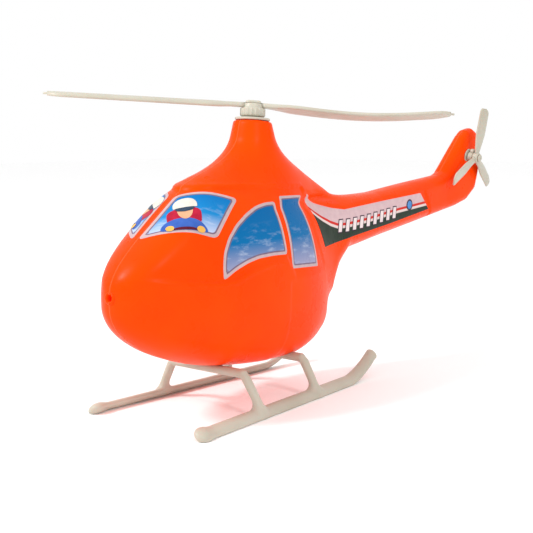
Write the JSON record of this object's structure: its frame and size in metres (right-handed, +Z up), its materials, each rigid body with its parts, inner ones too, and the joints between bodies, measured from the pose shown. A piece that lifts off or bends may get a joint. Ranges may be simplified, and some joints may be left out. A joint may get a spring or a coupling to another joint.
{
  "type": "toy helicopter",
  "caption": "Blow-moulded toy helicopter with a free-spinning main rotor and tail rotor, on a moulded undercarriage of runners and arches.",
  "frame": {"origin": "on the ground, under the middle of the model's overall box", "axes": "+Y from nose to tail, +X to port, +Z up"},
  "size_m": [0.1722, 0.3939, 0.1797],
  "materials": {
    "orange_plastic": "semi-gloss, blow-moulded polyethylene",
    "cream_plastic": "semi-gloss, injection-moulded",
    "window_print": "printed gloss sticker",
    "stripe_print": "printed gloss sticker"
  },
  "bodies": {
    "airframe": {"body_shell": "orange_plastic", "mast_plug": "cream_plastic", "rotor_washer": "cream_plastic", "rotor_cap": "cream_plastic", "tail_bush": "cream_plastic", "tail_washer": "cream_plastic", "tail_pin": "cream_plastic", "port_runner": "cream_plastic", "starboard_runner": "cream_plastic", "front_arch": "cream_plastic", "rear_arch": "cream_plastic", "port_windscreen": "window_print", "starboard_windscreen": "window_print", "port_quarter_window": "window_print", "starboard_quarter_window": "window_print", "port_rear_window": "window_print", "starboard_rear_window": "window_print", "port_boom_stripe": "stripe_print", "starboard_boom_stripe": "stripe_print"},
    "main_rotor": {"main_rotor": "cream_plastic"},
    "tail_rotor": {"tail_rotor": "cream_plastic"}
  },
  "joints": [
    {"name": "main_rotor_spin", "type": "hinge", "parent": "airframe", "child": "main_rotor", "pos_m": [0, -0.08295, 0.1634], "axis": [0, 0.0872, 0.9962], "continuous": true},
    {"name": "tail_rotor_spin", "type": "hinge", "parent": "airframe", "child": "tail_rotor", "pos_m": [0.0146, 0.16535, 0.1368], "axis": [0.9864, 0.069, -0.1491], "continuous": true}
  ]
}
